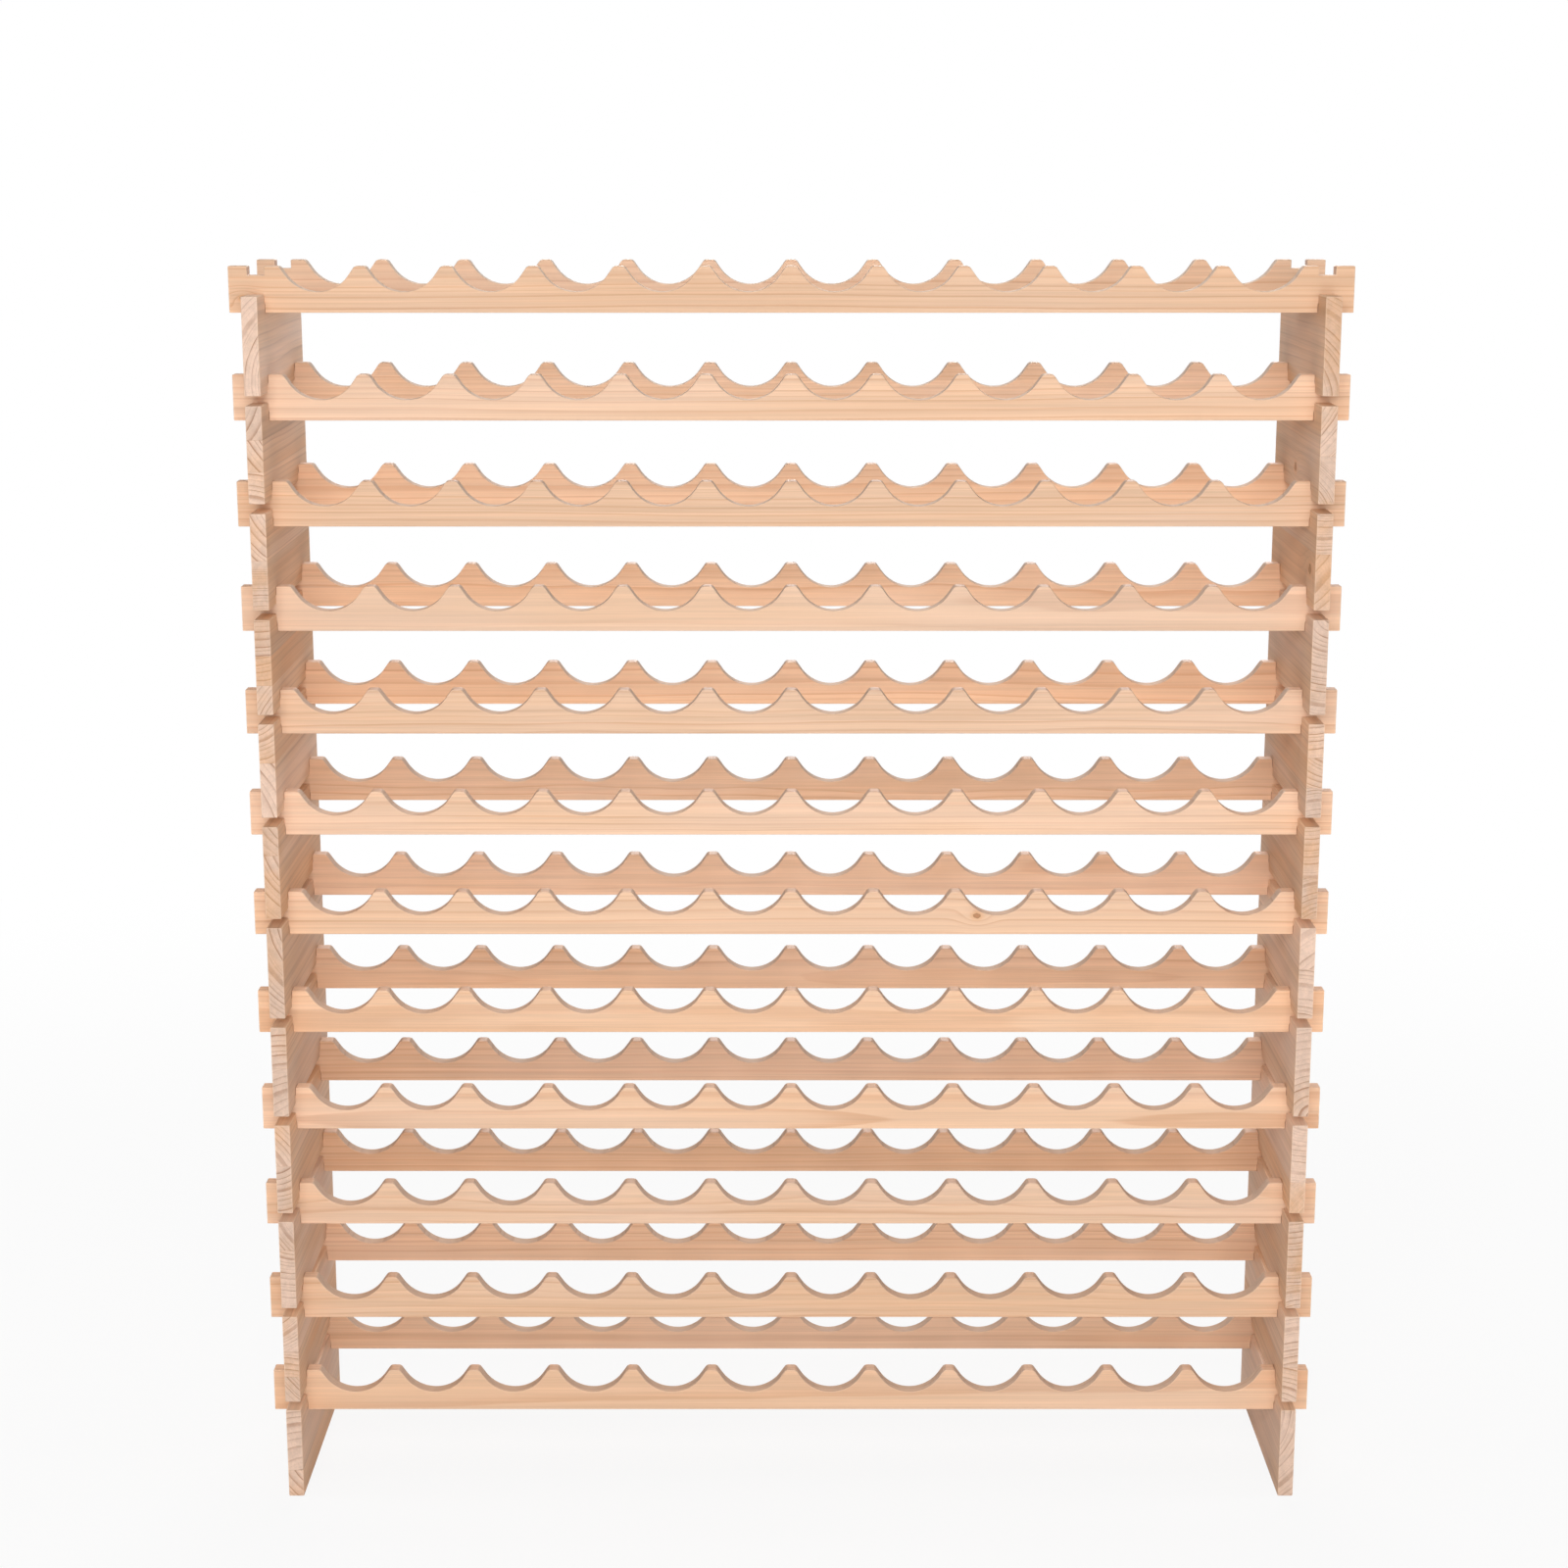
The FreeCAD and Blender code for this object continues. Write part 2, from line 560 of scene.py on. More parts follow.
def make_rail_tree():
    """Build the tree that makes one rail, lying along X with its low end at Place."""
    tree, bench, size = new_geometry_tree(
        "Scalloped rail", RAIL_SIZES, {"Cradles": "NodeSocketInt"}
    )
    math_ = bench.math
    face = rounded_face(bench, *rail_corners(bench, size))
    solid = thicken(bench, face, size["Thickness"])

    # The notches, cut while the rail lies flat
    between_ears = math_("MULTIPLY_ADD", size["Ear"], -2.0, size["Length"])
    half_length = math_("MULTIPLY", size["Length"], 0.5)
    half_height = math_("MULTIPLY", size["Height"], 0.5)
    half_thickness = math_("MULTIPLY", size["Thickness"], 0.5)
    notched = cut_boxes(
        bench,
        solid,
        math_("SUBTRACT", between_ears, size["Notch Width"]),
        size["Height"],
        bench.xyz(0.0, half_height, half_thickness),
        bench.xyz(
            size["Notch Width"],
            math_("MULTIPLY", size["Notch Depth"], 2.0),
            math_("MULTIPLY", size["Thickness"], 2.0),
        ),
    )
    upright = bench.add(
        "GeometryNodeTransform",
        {
            "Geometry": notched,
            "Translation": bench.xyz(half_length, size["Thickness"], 0.0),
            "Rotation": (math.pi / 2, 0.0, 0.0),
        },
    )
    end_tree(bench, upright.outputs[0], size["Place"], size["Material"])
    return tree


# ---- The board: a block with slots for the rails

BOARD_SIZES = ("Thickness", "Depth", "Height", "Slot Width", "Slot Depth", "Slot Spacing")


def make_board_tree():
    """Build the tree that makes one side board, its middle at Place."""
    tree, bench, size = new_geometry_tree(
        "Slotted board", BOARD_SIZES, {"Stands On Rails": "NodeSocketBool"}
    )
    block = bench.add(
        "GeometryNodeMeshCube",
        {"Size": bench.xyz(size["Thickness"], size["Depth"], size["Height"])},
    )
    # The slots' corners are laid out flat, stood up, and cut the block from there.
    height_of_corner = bench.add("ShaderNodeSeparateXYZ")
    position = bench.add("GeometryNodeInputPosition").outputs[0]
    bench.feed(height_of_corner.inputs[0], position)
    is_upper = bench.math("GREATER_THAN", height_of_corner.outputs["X"], 0.0)
    is_wanted = bench.math("MAXIMUM", is_upper, size["Stands On Rails"])
    lying = bench.add(
        "GeometryNodeTransform",
        {"Geometry": block.outputs["Mesh"], "Rotation": (0.0, math.pi / 2, 0.0)},
    )
    slotted = cut_boxes(
        bench,
        lying.outputs[0],
        size["Height"],
        size["Slot Spacing"],
        (0.0, 0.0, 0.0),
        bench.xyz(
            bench.math("MULTIPLY", size["Slot Depth"], 2.0),
            size["Slot Width"],
            bench.math("MULTIPLY", size["Thickness"], 2.0),
        ),
        is_wanted,
    )
    upright = bench.add(
        "GeometryNodeTransform",
        {"Geometry": slotted, "Rotation": (0.0, -math.pi / 2, 0.0)},
    )
    end_tree(bench, upright.outputs[0], size["Place"], size["Material"])
    return tree


# ---- Pine

# Each piece carries where its wood lay in the log, so rings run right through it:
#   log_place   X along the grain, Y and Z across it from the log's heart
#   knot_place  from the middle of the piece's knot, 1 at the knot's edge
#   wood_marks  X tone of the strip, Y its hue, Z 1 on a sawn cradle
#   edge_marks  X and Z distance up from and down to a glue line, Y 1 on an eased edge
LOG_ATTRIBUTE = "log_place"
KNOT_ATTRIBUTE = "knot_place"
WOOD_ATTRIBUTE = "wood_marks"
EDGE_ATTRIBUTE = "edge_marks"

# How far a ring strays from a true circle, slowly, quickly and round a knot, and how
# that push fades with the square of the distance from the knot
SLOW_BEND = 0.012
QUICK_BEND = 0.0016
KNOT_PUSH = 0.009
KNOT_PUSH_FADE = 0.07
# How many rings good and bad years shift the rest by, the share of a ring's darkening
# that comes slowly, and how dark the palest year's ring is
GOOD_YEARS = 2.6
SLOW_DARKENING = 0.28
PALEST_YEAR = 0.25
# How far one strip's hue and tone differ from the next one's
HUE_SPREAD = 0.16
TONE_SPREAD = 0.07
# Radians of tight rings across a knot, and of saw ripple along a metre of cradle
KNOT_RINGS = 19.0
SAW_RIPPLE = 4200.0
# Half the width of a glue line's groove, the height of the bumps, and the gloss
GLUE_GROOVE = 0.0004
BUMP_HEIGHT = 0.0004
PINE_SPECULAR = 0.32


def read_vector(bench, name):
    """Read one of the piece's own attributes."""
    return bench.add("ShaderNodeAttribute", attribute_name=name).outputs["Vector"]


def noise(bench, place, scale, detail=2.0, roughness=0.5):
    """Give smooth noise from 0 to 1 at a place, with its own scale along each axis."""
    stretched = bench.vector("MULTIPLY", place, scale)
    node = bench.add(
        "ShaderNodeTexNoise",
        {"Vector": stretched, "Scale": 1.0, "Detail": detail, "Roughness": roughness},
    )
    return node.outputs["Fac"]


def ease_between(bench, value, low, high, from_value=0.0, to_value=1.0):
    """Ease from one value to another as the input goes from low to high."""
    node = bench.add(
        "ShaderNodeMapRange",
        {0: value, 1: low, 2: high, 3: from_value, 4: to_value},
        interpolation_type="SMOOTHSTEP",
    )
    return node.outputs[0]


def blend_colours(bench, factor, first, second):
    """Mix two colours."""
    node = bench.add("ShaderNodeMix", data_type="RGBA")
    bench.feed(node.inputs["Factor"], factor)
    bench.feed(node.inputs[6], first)
    bench.feed(node.inputs[7], second)
    return node.outputs[2]


def scale_colour(bench, colour, shade):
    """Make a colour darker or paler."""
    node = bench.add(
        "ShaderNodeVectorMath", {0: colour, "Scale": shade}, operation="SCALE"
    )
    return node.outputs["Vector"]


def multiply_all(bench, *values):
    """Multiply several values."""
    product = values[0]
    for value in values[1:]:
        product = bench.math("MULTIPLY", product, value)
    return product


def distance_from_heart(bench, log, knot_distance):
    """Give the distance from the log's heart, bent a little, and round the knot."""
    math_ = bench.math
    across = bench.vector("MULTIPLY", log, (0.0, 1.0, 1.0))
    slow_bend = math_("SUBTRACT", noise(bench, log, (2.2, 7.0, 7.0)), 0.5)
    quick_bend = math_("SUBTRACT", noise(bench, log, (9.0, 70.0, 70.0)), 0.5)
    knot_square = math_("MULTIPLY", knot_distance, knot_distance)
    knot_push = math_("EXPONENT", math_("MULTIPLY", knot_square, -KNOT_PUSH_FADE))
    bend = math_("MULTIPLY", quick_bend, QUICK_BEND)
    bend = math_("MULTIPLY_ADD", slow_bend, SLOW_BEND, bend)
    bend = math_("MULTIPLY_ADD", knot_push, KNOT_PUSH, bend)
    return math_("ADD", bench.size_of(across), bend)


def ring_darkness(bench, heart_distance, ring_spacing):
    """Give 0 in a ring's pale spring wood, rising to its dark autumn wood."""
    math_ = bench.math
    rings_out = math_("DIVIDE", heart_distance, ring_spacing)
    good_years = bench.add(
        "ShaderNodeTexNoise",
        {"W": math_("MULTIPLY", rings_out, 0.37), "Scale": 1.0, "Detail": 1.0},
        noise_dimensions="1D",
    )
    ring = math_("MULTIPLY_ADD", good_years.outputs["Fac"], GOOD_YEARS, rings_out)
    within = math_("FRACT", ring)
    year_chance = bench.add(
        "ShaderNodeTexWhiteNoise", {"W": math_("FLOOR", ring)}, noise_dimensions="1D"
    ).outputs["Value"]
    slow_rise = ease_between(bench, within, 0.25, 0.95, 0.0, SLOW_DARKENING)
    quick_rise = ease_between(bench, within, 0.70, 0.93, 0.0, 1.0 - SLOW_DARKENING)
    fall = ease_between(bench, within, 0.95, 1.0, 1.0, 0.0)
    band = math_("MULTIPLY", math_("ADD", slow_rise, quick_rise), fall)
    year_strength = math_("MULTIPLY_ADD", year_chance, 1.0 - PALEST_YEAR, PALEST_YEAR)
    return math_("MULTIPLY", band, year_strength)


def drift_colour(bench, colour, drift, look, most_drift):
    """Let the wood drift to warm, resin-rich patches and to pink, fresh ones."""
    warmth = ease_between(bench, drift, 0.42, 0.80, 0.0, most_drift)
    colour = blend_colours(bench, warmth, colour, (*look.warm, 1.0))
    rosiness = ease_between(bench, drift, 0.28, 0.52, most_drift, 0.0)
    return blend_colours(bench, rosiness, colour, (*look.rosy, 1.0))


def add_knot(bench, colour, knot, knot_distance, look):
    """Add the knot: dark round its edge, a few tight rings inside, warm wood round it."""
    math_ = bench.math
    waver = math_("SUBTRACT", noise(bench, knot, (1.3, 1.3, 1.3), 3.0), 0.5)
    place = math_("MULTIPLY_ADD", waver, 0.9, knot_distance)
    mask = ease_between(bench, place, 0.80, 1.05, 0.85, 0.0)
    rings = math_("SINE", math_("MULTIPLY", place, KNOT_RINGS))
    rim = ease_between(bench, place, 0.55, 0.95, 0.0, -0.38)
    shade = math_("ADD", math_("MULTIPLY_ADD", rings, 0.14, 1.12), rim)
    halo = ease_between(bench, place, 0.9, 2.4, 0.55, 0.0)
    colour = blend_colours(bench, halo, colour, (*look.warm, 1.0))
    return blend_colours(bench, mask, colour, scale_colour(bench, look.knot, shade))


def pine_bump(bench, latewood, fibre, streak, sawn, glue):
    """Latewood stands proud, fibres are fine furrows, the saw leaves ripples."""
    math_ = bench.math
    object_place = bench.add("ShaderNodeTexCoord").outputs["Object"]
    on_face = bench.vector("MULTIPLY", object_place, (1.0, 0.0, 1.0))
    ripple = math_("SINE", math_("MULTIPLY", bench.size_of(on_face), SAW_RIPPLE))
    height = math_("MULTIPLY", latewood, 0.35)
    height = math_("MULTIPLY_ADD", fibre, 0.55, height)
    height = math_("MULTIPLY_ADD", streak, 0.35, height)
    height = math_("MULTIPLY_ADD", math_("MULTIPLY", ripple, sawn), 0.18, height)
    groove = ease_between(bench, glue, 0.0, GLUE_GROOVE, -0.4, 0.0)
    bump = bench.add(
        "ShaderNodeBump",
        {
            "Height": math_("ADD", height, groove),
            "Strength": 0.35,
            "Distance": BUMP_HEIGHT,
        },
    )
    return bump.outputs[0]


def make_pine(
    name, early, late, look, grain_axis, face_contrast, end_contrast, most_drift
):
    """Make the pine of one kind of piece, its grain along grain_axis."""
    material = bpy.data.materials.new(name)
    material.use_nodes = True
    bench = NodeBench(material.node_tree)
    math_ = bench.math
    log = read_vector(bench, LOG_ATTRIBUTE)
    knot = read_vector(bench, KNOT_ATTRIBUTE)
    wood = bench.add("ShaderNodeSeparateXYZ", {0: read_vector(bench, WOOD_ATTRIBUTE)})
    edge = bench.add("ShaderNodeSeparateXYZ", {0: read_vector(bench, EDGE_ATTRIBUTE)})
    tone, hue, sawn = wood.outputs["X"], wood.outputs["Y"], wood.outputs["Z"]
    glue = math_("MINIMUM", edge.outputs["X"], edge.outputs["Z"])
    eased = edge.outputs["Y"]
    knot_distance = bench.size_of(knot)

    # How far the surface turns its end grain outwards
    normal = bench.add("ShaderNodeNewGeometry").outputs["Normal"]
    along = bench.add(
        "ShaderNodeVectorMath", {0: normal, 1: grain_axis}, operation="DOT_PRODUCT"
    ).outputs["Value"]
    end_grain = ease_between(bench, math_("ABSOLUTE", along), 0.15, 0.85)

    # Growth rings, and finer marks along the grain
    heart_distance = distance_from_heart(bench, log, knot_distance)
    darkness = ring_darkness(bench, heart_distance, look.ring_spacing)
    contrast = math_(
        "MULTIPLY_ADD", end_grain, end_contrast - face_contrast, face_contrast
    )
    latewood = math_("MULTIPLY", darkness, contrast)
    fibre = noise(bench, log, (7.0, 900.0, 900.0), 3.0, 0.6)
    streak = noise(bench, log, (2.5, 160.0, 160.0))
    patch = noise(bench, log, (3.0, 22.0, 22.0))

    earlywood = blend_colours(bench, end_grain, (*early, 1.0), (*look.end_early, 1.0))
    colour = blend_colours(bench, latewood, earlywood, (*late, 1.0))
    drift = math_("MULTIPLY_ADD", hue, HUE_SPREAD, patch)
    colour = drift_colour(bench, colour, drift, look, most_drift)
    shade = multiply_all(
        bench,
        ease_between(bench, streak, 0.30, 0.70, 0.93, 1.04),
        ease_between(bench, fibre, 0.25, 0.75, 0.93, 1.05),
        math_("MULTIPLY_ADD", tone, TONE_SPREAD, 1.0),
        math_("MULTIPLY_ADD", end_grain, -0.06, 1.0),
    )
    colour = scale_colour(bench, colour, shade)
    colour = add_knot(bench, colour, knot, knot_distance, look)

    # Sawn cradles are duller, eased edges a little paler, glue lines thin and dark
    sawn_share = math_("MULTIPLY", sawn, 0.38)
    colour = blend_colours(bench, sawn_share, colour, (*look.sawn, 1.0))
    eased_share = math_("MULTIPLY", eased, 0.22)
    colour = blend_colours(bench, eased_share, colour, (*look.eased, 1.0))
    glue_line = ease_between(bench, glue, 0.2 * GLUE_GROOVE, 0.8 * GLUE_GROOVE, 0.34, 0.0)
    colour = blend_colours(bench, glue_line, colour, (*look.knot, 1.0))

    roughness = math_("MULTIPLY_ADD", end_grain, 0.16, 0.52)
    roughness = math_("MULTIPLY_ADD", latewood, -0.10, roughness)
    roughness = math_("MULTIPLY_ADD", sawn, 0.14, roughness)
    roughness = math_("MULTIPLY_ADD", fibre, 0.10, roughness)
    roughness = math_("MULTIPLY_ADD", eased, -0.08, roughness)

    surface = material.node_tree.nodes["Principled BSDF"]
    bench.feed(surface.inputs["Base Color"], colour)
    bench.feed(surface.inputs["Roughness"], roughness)
    bump = pine_bump(bench, latewood, fibre, streak, sawn, glue)
    bench.feed(surface.inputs["Normal"], bump)
    surface.inputs["Specular IOR Level"].default_value = PINE_SPECULAR
    return material


# ---- Making a piece


MADE = {}
EASED_FACE = 2
FAR_FROM_GLUE = 1.0
# A knot is longer along the grain, lies in the lower part of a rail below its
# cradles, and on most pieces is put a metre out of the wood
KNOT_STRETCH = 1.5
LOW_KNOTS = 0.45
OUT_OF_SIGHT = 1.0
# The share of wide enough boards that are glued up from three strips
THREE_STRIP_SHARE = 0.3
EASED_SEGMENTS = 2
EASED_ANGLE = math.radians(35.0)
SHARP_ANGLE = math.radians(20.0)


def made_once(name, maker):
    """Give a tree or a material that is already made, or make it."""
    if name not in MADE:
        MADE[name] = maker()
    return MADE[name]


def shape_piece(name, tree, values, edge_ease):
    """Run a tree, ease the edges and give a plain mesh object at the origin."""
    piece = bpy.data.objects.new(name, bpy.data.meshes.new(name))
    bpy.context.scene.collection.objects.link(piece)
    # Spare material slots let the bevel mark the faces that it makes
    for _ in range(EASED_FACE + 1):
        piece.data.materials.append(values["Material"])
    shape = piece.modifiers.new("Shape", "NODES")
    shape.node_group = tree
    for item in tree.interface.items_tree:
        if item.in_out == "INPUT":
            shape[item.identifier] = values[item.name]
    ease = piece.modifiers.new("Eased edges", "BEVEL")
    ease.width = edge_ease
    ease.segments = EASED_SEGMENTS
    ease.limit_method = "ANGLE"
    ease.angle_limit = EASED_ANGLE
    ease.use_clamp_overlap = False
    ease.material = EASED_FACE
    graph = bpy.context.evaluated_depsgraph_get()
    mesh = bpy.data.meshes.new_from_object(piece.evaluated_get(graph))
    piece.modifiers.clear()
    blank = piece.data
    piece.data = mesh
    bpy.data.meshes.remove(blank)
    mesh.name = name
    if not mesh.polygons:
        raise RuntimeError(f"{name} came out empty")
    return piece


class Strip:
    """A length of timber: where it lay in its log, how fast it grew, and its tone."""

    def __init__(self, chance, centre, kind):
        self.centre = centre
        self.heart = pick_heart(chance, kind)
        usual_growth = chance.choice((0.75, 0.95, 1.15, 1.5, 2.0))
        self.growth = usual_growth * chance.uniform(0.9, 1.1)
        self.tone = chance.uniform(-1.0, 1.0)
        self.hue = chance.uniform(-1.0, 1.0)
        self.start = chance.uniform(-20.0, 20.0)


def pick_heart(chance, kind):
    """Pick how far, and in which direction across the strip, the log's heart lay."""
    if kind == "slanted":
        angle = math.radians(chance.choice((35, 50, 130, 145)) + chance.uniform(-9, 9))
        distance = chance.uniform(0.075, 0.14)
    elif kind == "level":
        angle = math.radians(90 + chance.uniform(-10, 10))
        distance = chance.uniform(0.06, 0.12)
    elif kind == "arched":
        angle = math.radians(chance.choice((75, 105)) + chance.uniform(-10, 10))
        distance = chance.uniform(0.050, 0.075)
    else:
        angle = math.radians(chance.choice((8, 172)) + chance.uniform(-8, 8))
        distance = chance.uniform(0.05, 0.10)
    side = chance.choice((-1.0, 1.0))
    return distance * math.cos(angle), side * distance * math.sin(angle)


def split_at_seams(mesh, seams):
    """Cut the mesh's faces along each level glue seam."""
    shape = bmesh.new()
    shape.from_mesh(mesh)
    for seam in seams:
        everything = shape.verts[:] + shape.edges[:] + shape.faces[:]
        bmesh.ops.bisect_plane(
            shape, geom=everything, plane_co=(0, 0, seam), plane_no=(0, 0, 1)
        )
    shape.to_mesh(mesh)
    shape.free()


def write_corners(mesh, name, values):
    """Store one vector for each face corner."""
    attribute = mesh.attributes.new(name, "FLOAT_VECTOR", "CORNER")
    attribute.data.foreach_set("vector", values.astype(np.float32).ravel())


def mark_wood(mesh, grain, across, strips, seams, knot, knot_size, is_sawn):
    """Store where each corner's wood lay in its log, and what was done to it."""
    corners = len(mesh.loops)
    vertex_of_corner = np.zeros(corners, np.int32)
    mesh.loops.foreach_get("vertex_index", vertex_of_corner)
    places = np.zeros(len(mesh.vertices) * 3)
    mesh.vertices.foreach_get("co", places)
    places = places.reshape(-1, 3)[vertex_of_corner]
    log = np.zeros((corners, 3))
    wood = np.zeros((corners, 3))
    edge = np.full((corners, 3), FAR_FROM_GLUE)
    for face in mesh.polygons:
        number = sum(face.center.z > seam for seam in seams)
        strip = strips[number]
        here = slice(face.loop_start, face.loop_start + face.loop_total)
        log[here, 0] = places[here, grain] + strip.start
        log[here, 1] = places[here, across] - strip.centre[across] - strip.heart[0]
        log[here, 2] = places[here, 2] - strip.centre[2] - strip.heart[1]
        log[here] /= strip.growth
        wood[here] = (strip.tone, strip.hue, is_sawn(face))
        edge[here, 1] = face.material_index == EASED_FACE
        if number > 0:
            edge[here, 0] = places[here, 2] - seams[number - 1]
        if number < len(seams):
            edge[here, 2] = seams[number] - places[here, 2]
    write_corners(mesh, LOG_ATTRIBUTE, log)
    write_corners(mesh, WOOD_ATTRIBUTE, wood)
    write_corners(mesh, EDGE_ATTRIBUTE, edge)
    write_corners(mesh, KNOT_ATTRIBUTE, (places - np.array(knot)) / np.array(knot_size))


def dress_piece(piece, node, material):
    """Shade the piece, stand it in for its CAD node and let it ride the frame."""
    mesh = piece.data
    mesh.materials.clear()
    mesh.materials.append(material)
    mesh.polygons.foreach_set("material_index", [0] * len(mesh.polygons))
    mesh.shade_smooth()
    mesh.set_sharp_from_angle(angle=SHARP_ANGLE)
    for spare in (ROUND_ATTRIBUTE, STEPS_ATTRIBUTE):
        if spare in mesh.attributes:
            mesh.attributes.remove(mesh.attributes[spare])
    mesh.update()
    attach(piece, BODY)
    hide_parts(node)


def rail_pine():
    """Make the rails' pine."""
    look = bpy.context.scene.rack_pine
    return make_pine(
        "rail pine",
        look.rail_early,
        look.rail_late,
        look,
        grain_axis=(1.0, 0.0, 0.0),
        face_contrast=0.58,
        end_contrast=0.8,
        most_drift=0.25,
    )


def board_pine():
    """Make the boards' pine."""
    look = bpy.context.scene.rack_pine
    return make_pine(
        "board pine",
        look.board_early,
        look.board_late,
        look,
        grain_axis=(0.0, 1.0, 0.0),
        face_contrast=0.42,
        end_contrast=1.0,
        most_drift=0.55,
    )


def make_rail(node):
    """Make one rail in the place of its CAD node."""
    sizes = bpy.context.scene.rack_rails
    low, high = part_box(node)
    span = high - low
    ear = board_low.x - low.x - sizes.joint_clearance
    notch_width = board_high.x - board_low.x + 2 * sizes.joint_clearance
    values = {
        "Length": span.x,
        "Height": span.z,
        "Thickness": span.y,
        "Cradles": sizes.cradles,
        "Cradle Radius": sizes.bottle_diameter / 2 + sizes.cradle_clearance,
        "Cradle Depth": sizes.cradle_depth,
        "Flank Angle": sizes.flank_angle,
        "Peak Land": sizes.peak_land,
        "Peak Round": sizes.peak_round,
        "Ear": ear,
        "Notch Width": notch_width,
        "Notch Depth": notch_depth,
        "Place": low,
        "Material": made_once("rail pine", rail_pine),
    }
    tree = made_once("rail", make_rail_tree)
    piece = shape_piece("pine_" + node, tree, values, sizes.edge_ease)
    chance = random.Random(node)
    middle = (low + high) / 2
    strip = Strip(chance, middle, chance.choice(("level", "level", "slanted", "upright")))
    knot_x = chance.uniform(low.x, high.x)
    knot_z = chance.uniform(low.z, low.z + LOW_KNOTS * span.z)
    knot = Vector((knot_x, low.y, knot_z))
    if chance.random() > sizes.knotty_share:
        knot.y = low.y - OUT_OF_SIGHT
    radius = chance.uniform(0.0018, 0.0034)
    knot_size = (radius * KNOT_STRETCH, radius, radius)
    cradles_end = span.x / 2 - ear - notch_width

    def is_sawn(face):
        """Tell a cradle's face from the rail's planed faces and its notches."""
        below_top = face.center.z < high.z - 0.0004
        above_web = face.center.z > high.z - sizes.cradle_depth - 0.001
        between_notches = abs(face.center.x - middle.x) < cradles_end - 0.002
        faces_up = abs(face.normal.y) < 0.3
        return below_top and above_web and between_notches and faces_up

    mark_wood(piece.data, 0, 1, [strip], [], knot, knot_size, is_sawn)
    dress_piece(piece, node, values["Material"])


def pick_seams(chance, low, high):
    """Pick the heights of a board's glue seams."""
    sizes = bpy.context.scene.rack_boards
    height = high.z - low.z
    if chance.random() < sizes.one_strip_share:
        return []
    narrowest = sizes.narrowest_strip
    first = low.z + chance.uniform(narrowest, height - narrowest)
    if first - low.z > 2 * narrowest and chance.random() < THREE_STRIP_SHARE:
        return [low.z + (first - low.z) / 2, first]
    return [first]


def make_board(node, stands_on_rails):
    """Make one side board or leg board in the place of its CAD node."""
    sizes = bpy.context.scene.rack_boards
    clearance = bpy.context.scene.rack_rails.joint_clearance
    low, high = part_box(node)
    span = high - low
    middle = (low + high) / 2
    values = {
        "Thickness": span.x,
        "Depth": span.y,
        "Height": span.z,
        "Slot Width": rail_high.y - rail_low.y + 2 * clearance,
        "Slot Depth": lap - notch_depth,
        "Slot Spacing": rear_rail_low.y - rail_low.y,
        "Stands On Rails": stands_on_rails,
        "Place": middle,
        "Material": made_once("board pine", board_pine),
    }
    tree = made_once("board", make_board_tree)
    piece = shape_piece("pine_" + node, tree, values, sizes.edge_ease)
    chance = random.Random(node)
    seams = pick_seams(chance, low, high)
    split_at_seams(piece.data, seams)
    levels = [low.z, *seams, high.z]
    strips = []
    for number in range(len(seams) + 1):
        centre = Vector((middle.x, middle.y, (levels[number] + levels[number + 1]) / 2))
        kind = chance.choice(("slanted", "slanted", "level", "arched"))
        strips.append(Strip(chance, centre, kind))
    face_x = chance.choice((low.x, high.x))
    knot = Vector((face_x, chance.uniform(low.y, high.y), chance.uniform(low.z, high.z)))
    if chance.random() > sizes.knotty_share:
        knot.x = low.x - OUT_OF_SIGHT
    radius = chance.uniform(0.0025, 0.006)
    knot_size = (radius, radius * KNOT_STRETCH, radius)
    mark_wood(piece.data, 1, 0, strips, seams, knot, knot_size, lambda face: False)
    dress_piece(piece, node, values["Material"])


def nodes_starting(beginning):
    """List the CAD nodes whose names start this way."""
    found = sorted(node for node in frame["nodes"] if node.startswith(beginning))
    if not found:
        raise RuntimeError(f"the frame has no {beginning} nodes")
    return found


# ---- Operators


class RACK_OT_front_rails(bpy.types.Operator):
    """Make the scalloped rail at the front of every tier"""

    bl_idname = "rack.front_rails"
    bl_label = "Front rails"

    def execute(self, context):
        for node in nodes_starting("front_rail_"):
            make_rail(node)
        return {"FINISHED"}


class RACK_OT_rear_rails(bpy.types.Operator):
    """Make the scalloped rail at the back of every tier"""

    bl_idname = "rack.rear_rails"
    bl_label = "Rear rails"

    def execute(self, context):
        for node in nodes_starting("rear_rail_"):
            make_rail(node)
        return {"FINISHED"}


class RACK_OT_side_boards(bpy.types.Operator):
    """Make the side boards that stand between the tiers"""

    bl_idname = "rack.side_boards"
    bl_label = "Side boards"

    def execute(self, context):
        for side in ("left", "right"):
            for node in nodes_starting(side + "_side_board_"):
                make_board(node, True)
        return {"FINISHED"}


class RACK_OT_leg_boards(bpy.types.Operator):
    """Make the two taller boards that the rack stands on"""

    bl_idname = "rack.leg_boards"
    bl_label = "Leg boards"

    def execute(self, context):
        for side in ("left", "right"):
            make_board(side + "_leg_board", False)
        return {"FINISHED"}


WHITE = (1.0, 1.0, 1.0, 1.0)
FLOOR_ROUGHNESS = 0.9
FLOOR_SPECULAR = 0.1
FLOOR_FADE = (0.9, 3.0)
SENSOR_WIDTH = 36.0
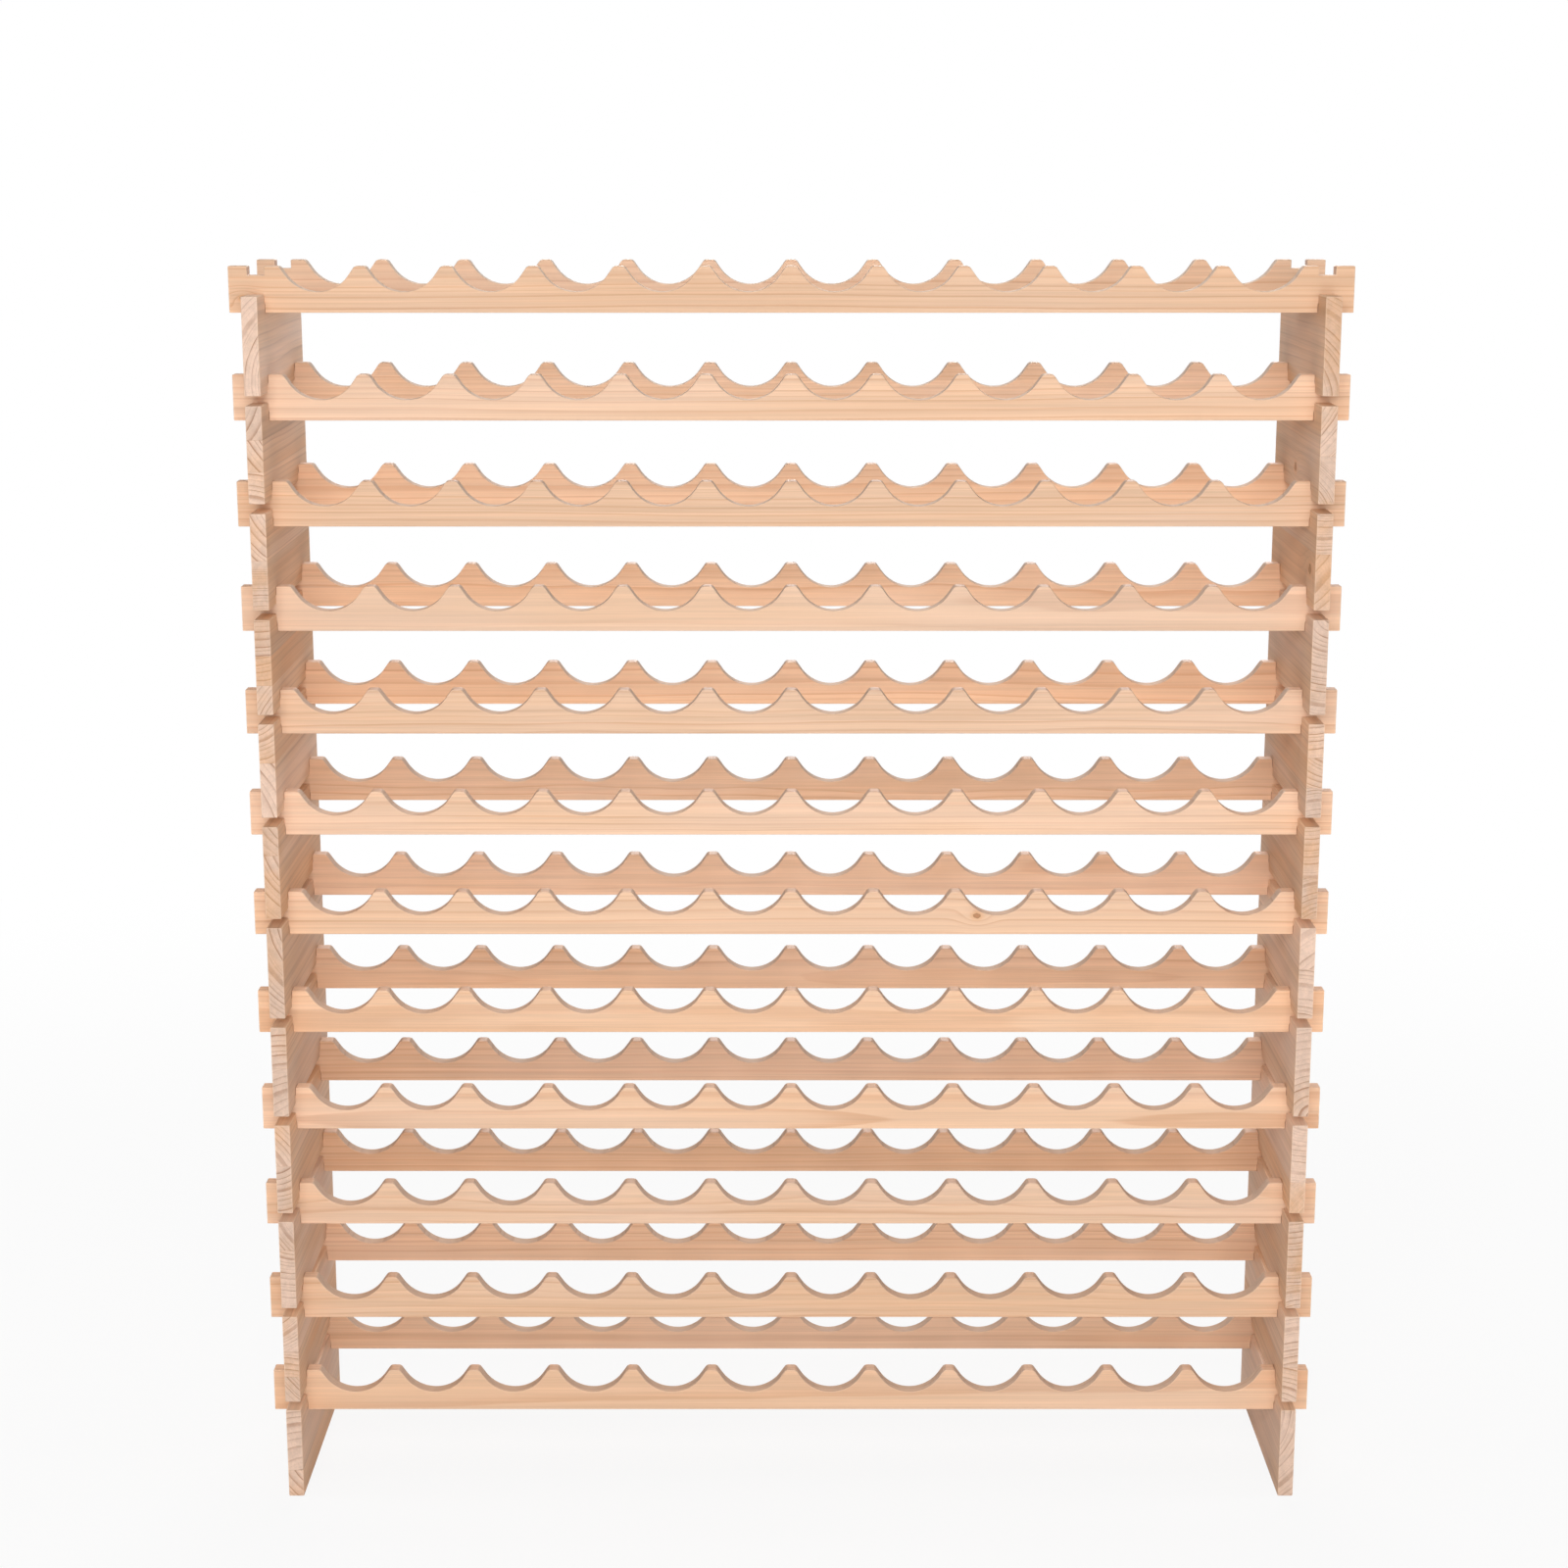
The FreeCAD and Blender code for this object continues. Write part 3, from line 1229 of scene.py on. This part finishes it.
# Each light's place, the height that it points at as a share of the rack's, its width
# and height, and its power as a share of the key light's
LIGHTS = {
    "key light": ((-0.5, -3.9, 2.5), 0.5, (1.8, 1.4), 1.0),
    "fill light": ((0.6, -3.9, 1.0), 0.25, (1.6, 1.8), 0.6),
    "top light": ((0.0, 0.0, 3.8), 0.5, (2.6, 1.6), 0.33),
    "back light": ((0.2, 3.9, 2.2), 0.5, (2.4, 2.0), 1.25),
    "left light": ((-2.4, 0.0, 0.6825), 0.5, (0.5, 1.4), 0.25),
    "right light": ((2.4, 0.0, 0.6825), 0.5, (0.5, 1.4), 0.25),
}


def make_floor(stage):
    """Make a round pale floor that fades into the backdrop far away."""
    mesh = bpy.data.meshes.new("floor")
    shape = bmesh.new()
    bmesh.ops.create_circle(shape, cap_ends=True, radius=stage.floor_radius, segments=96)
    shape.to_mesh(mesh)
    shape.free()
    floor = bpy.data.objects.new("floor", mesh)
    bpy.context.scene.collection.objects.link(floor)
    material = bpy.data.materials.new("pale floor")
    material.use_nodes = True
    bench = NodeBench(material.node_tree)
    surface = material.node_tree.nodes["Principled BSDF"]
    surface.inputs["Base Color"].default_value = (*stage.floor_colour, 1.0)
    surface.inputs["Roughness"].default_value = FLOOR_ROUGHNESS
    surface.inputs["Specular IOR Level"].default_value = FLOOR_SPECULAR
    place = bench.add("ShaderNodeTexCoord").outputs["Object"]
    distance = bench.size_of(place)
    far = ease_between(bench, distance, *FLOOR_FADE, stage.floor_glow, 1.0)
    seen = bench.add("ShaderNodeLightPath").outputs["Is Camera Ray"]
    glow = bench.add("ShaderNodeEmission", {"Color": WHITE, "Strength": 1.0})
    mixed = bench.add("ShaderNodeMixShader", {0: bench.math("MULTIPLY", far, seen)})
    bench.feed(mixed.inputs[1], surface.outputs[0])
    bench.feed(mixed.inputs[2], glow.outputs[0])
    output = material.node_tree.nodes["Material Output"]
    bench.feed(output.inputs["Surface"], mixed.outputs[0])
    mesh.materials.append(material)


def make_light(name, place, target, size, power):
    """Make one large soft light that points at a target."""
    data = bpy.data.lights.new(name, "AREA")
    data.shape = "RECTANGLE"
    data.size = size[0]
    data.size_y = size[1]
    data.energy = power
    light = bpy.data.objects.new(name, data)
    light.visible_camera = False
    light.location = place
    towards = Vector(target) - Vector(place)
    light.rotation_euler = towards.to_track_quat("-Z", "Y").to_euler()
    bpy.context.scene.collection.objects.link(light)


def make_world(strength):
    """Make the even light from all round, and a white backdrop."""
    world = bpy.data.worlds.new("studio")
    world.use_nodes = True
    bench = NodeBench(world.node_tree)
    background = world.node_tree.nodes["Background"]
    background.inputs["Color"].default_value = WHITE
    seen = bench.add("ShaderNodeLightPath").outputs["Is Camera Ray"]
    bench.feed(
        background.inputs["Strength"],
        bench.math("MULTIPLY_ADD", seen, 1.0 - strength, strength),
    )
    bpy.context.scene.world = world


def make_camera(stage, middle):
    """Make the camera, in front of the rack and looking a little down."""
    data = bpy.data.cameras.new("camera")
    data.sensor_width = SENSOR_WIDTH
    data.lens = stage.camera_lens
    data.shift_y = stage.camera_shift
    camera = bpy.data.objects.new("camera", data)
    camera.location = (
        middle.x + stage.camera_side,
        middle.y - stage.camera_distance,
        stage.camera_height,
    )
    camera.rotation_euler = (math.pi / 2 - stage.camera_tilt, 0.0, 0.0)
    bpy.context.scene.collection.objects.link(camera)
    bpy.context.scene.camera = camera


class RACK_OT_stage(bpy.types.Operator):
    """Make the floor, the soft studio light and the camera"""

    bl_idname = "rack.stage"
    bl_label = "Stage"

    def execute(self, context):
        stage = context.scene.rack_stage
        low, high = (Vector(corner) for corner in cad_bounds)
        middle = (low + high) / 2
        make_floor(stage)
        make_world(stage.soft_light)
        for name, (place, aim, size, share) in LIGHTS.items():
            target = (middle.x, middle.y, low.z + aim * (high.z - low.z))
            make_light(name, place, target, size, stage.key_light * share)
        make_camera(stage, middle)
        context.scene.view_settings.view_transform = "Standard"
        return {"FINISHED"}


class RACK_PT_panel(bpy.types.Panel):
    """Everything that makes the wine rack"""

    bl_idname = "RACK_PT_panel"
    bl_label = "Wine rack"
    bl_space_type = "VIEW_3D"
    bl_region_type = "UI"
    bl_category = "Wine rack"

    def draw(self, context):
        layout = self.layout
        for settings in (
            context.scene.rack_rails,
            context.scene.rack_boards,
            context.scene.rack_pine,
            context.scene.rack_stage,
        ):
            box = layout.box()
            for name in settings.bl_rna.properties.keys():
                if name not in ("rna_type", "name"):
                    box.prop(settings, name)
        for operator in OPERATORS:
            layout.operator(operator.bl_idname)


OPERATORS = (
    RACK_OT_front_rails,
    RACK_OT_rear_rails,
    RACK_OT_side_boards,
    RACK_OT_leg_boards,
    RACK_OT_stage,
)
SETTINGS = {
    "rack_rails": RackRailSizes,
    "rack_boards": RackBoardSizes,
    "rack_pine": RackPineLook,
    "rack_stage": RackStage,
}


def register():
    """Register the settings, the operators and the panel."""
    for name, settings in SETTINGS.items():
        bpy.utils.register_class(settings)
        setattr(bpy.types.Scene, name, PointerProperty(type=settings))
    for operator in OPERATORS:
        bpy.utils.register_class(operator)
    bpy.utils.register_class(RACK_PT_panel)


def unregister():
    """Remove the panel, the operators and the settings."""
    bpy.utils.unregister_class(RACK_PT_panel)
    for operator in reversed(OPERATORS):
        bpy.utils.unregister_class(operator)
    for name, settings in reversed(SETTINGS.items()):
        delattr(bpy.types.Scene, name)
        bpy.utils.unregister_class(settings)


def main():
    """Make every piece and the stage."""
    register()
    bpy.ops.rack.front_rails()
    bpy.ops.rack.rear_rails()
    bpy.ops.rack.side_boards()
    bpy.ops.rack.leg_boards()
    bpy.ops.rack.stage()


if __name__ == "__main__":
    main()
